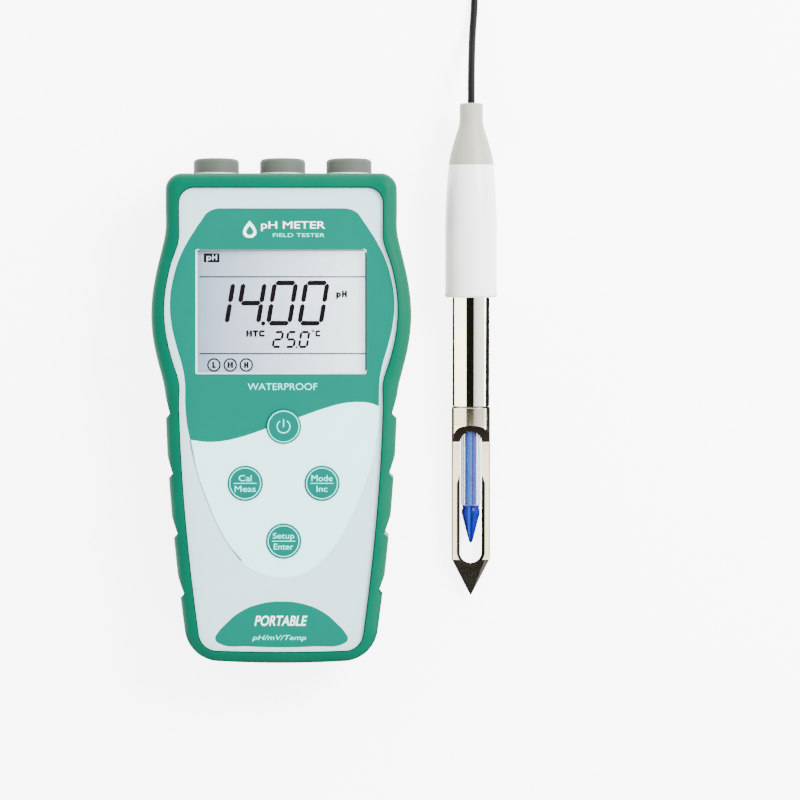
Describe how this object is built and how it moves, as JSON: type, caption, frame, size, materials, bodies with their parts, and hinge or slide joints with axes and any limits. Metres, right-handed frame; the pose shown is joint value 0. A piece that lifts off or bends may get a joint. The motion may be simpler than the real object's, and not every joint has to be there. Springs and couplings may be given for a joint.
{
  "type": "portable ph meter",
  "caption": "Handheld pH meter in a green rubber grip boot with capped ports, membrane face and display, and a spear electrode with a milled steel blade guard on a cable.",
  "frame": {"origin": "centre of the meter's back rest face, on the plane of the boot's back rim, half way between its sides and half way along the boot", "axes": "+Z out of the meter's face, +Y towards the port caps and the electrode's cable end, +X from the meter towards the electrode"},
  "size_m": [0.1171, 0.2759, 0.033],
  "materials": {
    "boot_rubber": "matt soft-touch rubber",
    "case_plastic": "fine textured ABS",
    "seal_rubber": "matt",
    "steel_screw": "plain",
    "overlay": "semi-gloss printed polyester",
    "bezel_plastic": "satin",
    "lens": "clear polished",
    "lcd": "grey reflective cell",
    "diffuser": "frosted",
    "zebra": "striped silicone",
    "board_green": "solder mask",
    "board_post": "nylon",
    "switch_black": "satin",
    "chip_black": "moulded epoxy",
    "tinned_steel": "tinned",
    "collar_plastic": "satin",
    "nickel": "nickel plated",
    "insulator": "PTFE",
    "jack_black": "satin",
    "cell_wrap": "printed sleeve",
    "spring_steel": "nickel plated",
    "label_silver": "blank polyester",
    "relief_grey": "satin",
    "handle_white": "satin",
    "resin": "cast epoxy",
    "polished_steel": "polished",
    "bush_black": "machined",
    "clear_glass": "polished",
    "blue_glass": "coloured",
    "silver_wire": "silver",
    "spear_glass": "coloured bulb",
    "cable_black": "matt PVC",
    "contact_gold": "gold plated",
    "milled_steel": "milled and turned",
    "key_rubber": "satin silicone",
    "cap_rubber": "matt"
  },
  "bodies": {
    "meter": {"boot": "boot_rubber", "front_shell": "case_plastic", "rear_shell": "case_plastic", "seam_gasket": "seal_rubber", "case_screws": "steel_screw", "face_overlay": "overlay", "display_bezel": "bezel_plastic", "display_lens": "lens", "lcd_glass": "lcd", "lcd_backlight": "diffuser", "zebra_strips": "zebra", "main_board": "board_green", "board_screws": "steel_screw", "board_posts": "board_post", "key_switches": "switch_black", "board_chips": "chip_black", "shield_can": "tinned_steel", "port_block": "collar_plastic", "bnc_socket": "nickel", "bnc_contact": "insulator", "temp_jack": "nickel", "power_jack": "jack_black", "socket_nuts": "nickel", "battery_cells": "cell_wrap", "battery_contacts": "spring_steel", "rear_label": "label_silver"},
    "battery_door": {"battery_door": "case_plastic", "door_gasket": "seal_rubber", "door_screws": "steel_screw"},
    "electrode": {"strain_relief": "relief_grey", "handle": "handle_white", "handle_potting": "resin", "shaft": "polished_steel", "shaft_seal": "seal_rubber", "stem_bush": "bush_black", "glass_stem": "clear_glass", "inner_electrode": "blue_glass", "reference_wire": "silver_wire", "sensor_spear": "spear_glass", "cable": "cable_black", "cable_coil": "cable_black", "cable_tail": "cable_black", "plug_boot": "cable_black", "plug_body": "nickel", "plug_pin": "contact_gold"},
    "blade_guard": {"blade_guard": "milled_steel"},
    "plug_collar": {"plug_collar": "nickel"},
    "key_power": {"key_power": "key_rubber"},
    "key_cal_meas": {"key_cal_meas": "key_rubber"},
    "key_mode_inc": {"key_mode_inc": "key_rubber"},
    "key_setup_enter": {"key_setup_enter": "key_rubber"},
    "port_cap_left": {"port_cap_left": "cap_rubber"},
    "port_cap_centre": {"port_cap_centre": "cap_rubber"},
    "port_cap_right": {"port_cap_right": "cap_rubber"}
  },
  "joints": [
    {"name": "key_power_press", "type": "slide", "parent": "meter", "child": "key_power", "axis": [0, 0, -1], "range_m": [0, 0.0005], "stiffness_N_per_m": 1500, "springref_m": -0.0003},
    {"name": "key_cal_meas_press", "type": "slide", "parent": "meter", "child": "key_cal_meas", "axis": [0, 0, -1], "range_m": [0, 0.0005], "stiffness_N_per_m": 1500, "springref_m": -0.0003},
    {"name": "key_mode_inc_press", "type": "slide", "parent": "meter", "child": "key_mode_inc", "axis": [0, 0, -1], "range_m": [0, 0.0005], "stiffness_N_per_m": 1500, "springref_m": -0.0003},
    {"name": "key_setup_enter_press", "type": "slide", "parent": "meter", "child": "key_setup_enter", "axis": [0, 0, -1], "range_m": [0, 0.0005], "stiffness_N_per_m": 1500, "springref_m": -0.0003},
    {"name": "port_cap_left_pull", "type": "slide", "parent": "meter", "child": "port_cap_left", "axis": [0, 1, 0], "range_m": [0, 0.02]},
    {"name": "port_cap_centre_pull", "type": "slide", "parent": "meter", "child": "port_cap_centre", "axis": [0, 1, 0], "range_m": [0, 0.02]},
    {"name": "port_cap_right_pull", "type": "slide", "parent": "meter", "child": "port_cap_right", "axis": [0, 1, 0], "range_m": [0, 0.02]},
    {"name": "battery_door_lift_off", "type": "slide", "parent": "meter", "child": "battery_door", "axis": [0, 0, -1], "range_m": [0, 0.03]},
    {"name": "electrode_pick_up", "type": "slide", "parent": "meter", "child": "electrode", "axis": [0, 0, 1], "range_m": [0, 0.05]},
    {"name": "blade_guard_take_off", "type": "slide", "parent": "electrode", "child": "blade_guard", "axis": [0, -0.9986, -0.0524], "range_m": [0, 0.06]},
    {"name": "plug_collar_turn", "type": "hinge", "parent": "electrode", "child": "plug_collar", "pos_m": [0.004, 0.1862, 0.00715], "axis": [-1, 0, 0], "range_deg": [0, 90]}
  ]
}
